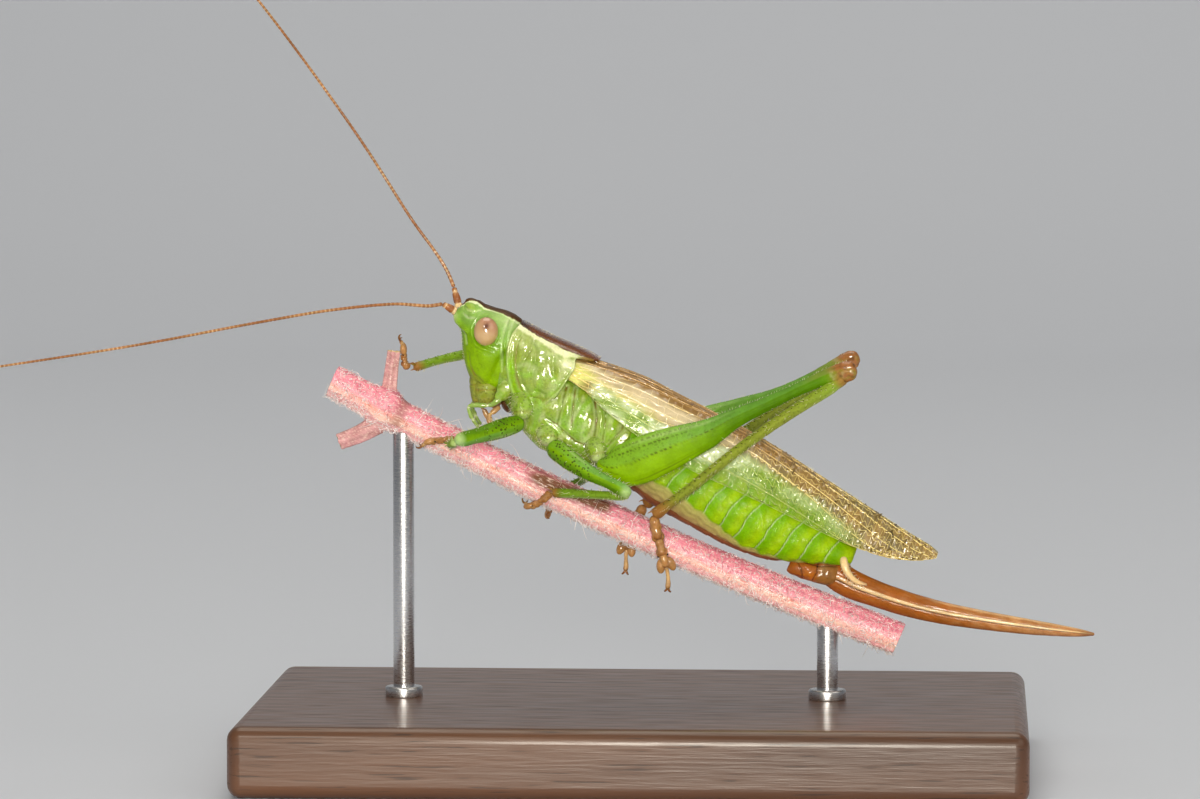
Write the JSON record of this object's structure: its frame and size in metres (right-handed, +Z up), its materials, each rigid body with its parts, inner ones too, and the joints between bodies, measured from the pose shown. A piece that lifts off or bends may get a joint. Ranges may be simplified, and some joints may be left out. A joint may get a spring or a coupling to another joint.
{
  "type": "long-horned grasshopper model",
  "caption": "Life-size still model of a female meadow katydid with long feelers and a brown ovipositor, gripping a cut length of hairy stem held over a flat base by rods",
  "frame": {"origin": "the middle of the underside of the stand's base", "axes": "+Z up, +X towards the insect's tail end, +Y towards the insect's right side; the perch and the insect slope down by 24 degrees towards +X"},
  "size_m": [0.065, 0.0298, 0.0511],
  "materials": {
    "green_cuticle": "satin green insect cuticle with faint dark dots",
    "pale_cuticle": "glossy pale green cuticle with fine pits, a cream stripe and a brown back stripe",
    "eye": "smooth pinkish tan compound eye with fine facets",
    "brown_cuticle": "satin orange-brown insect cuticle",
    "wing": "tan parchment wing with a raised net of veins",
    "stem": "matt pink plant stem with fine pale hairs",
    "base_wood": "satin dark walnut",
    "steel": "brushed stainless steel"
  },
  "bodies": {
    "root": {"head": "green_cuticle", "eye_left": "eye", "eye_right": "eye", "antenna_left_base": "brown_cuticle", "antenna_left_inner": "brown_cuticle", "antenna_left_outer": "brown_cuticle", "antenna_right_base": "brown_cuticle", "antenna_right_inner": "brown_cuticle", "antenna_right_outer": "brown_cuticle", "labrum": "green_cuticle", "mandible_left": "green_cuticle", "mandible_right": "green_cuticle", "maxilla_left": "green_cuticle", "maxilla_right": "green_cuticle", "maxillary_palp_left": "green_cuticle", "maxillary_palp_right": "green_cuticle", "labium": "brown_cuticle", "pronotum": "pale_cuticle", "thorax": "pale_cuticle", "abdomen": "green_cuticle", "subgenital_plate": "brown_cuticle", "ovipositor": "brown_cuticle", "cercus_left": "brown_cuticle", "cercus_right": "brown_cuticle", "forewing_left": "wing", "forewing_right": "wing", "hindwing_left": "wing", "hindwing_right": "wing", "fore_coxa_left": "green_cuticle", "fore_femur_left": "green_cuticle", "fore_tibia_left": "green_cuticle", "fore_tarsus_left": "brown_cuticle", "fore_coxa_right": "green_cuticle", "fore_femur_right": "green_cuticle", "fore_tibia_right": "green_cuticle", "fore_tarsus_right": "brown_cuticle", "mid_coxa_left": "green_cuticle", "mid_femur_left": "green_cuticle", "mid_tibia_left": "green_cuticle", "mid_tarsus_left": "brown_cuticle", "mid_coxa_right": "green_cuticle", "mid_femur_right": "green_cuticle", "mid_tibia_right": "green_cuticle", "mid_tarsus_right": "brown_cuticle", "hind_coxa_left": "green_cuticle", "hind_femur_left": "green_cuticle", "hind_tibia_left": "green_cuticle", "hind_tarsus_left": "brown_cuticle", "hind_coxa_right": "green_cuticle", "hind_femur_right": "green_cuticle", "hind_tibia_right": "green_cuticle", "hind_tarsus_right": "brown_cuticle", "perch": "stem", "stand_base": "base_wood", "stand_rod_front": "steel", "stand_rod_rear": "steel"}
  },
  "joints": []
}
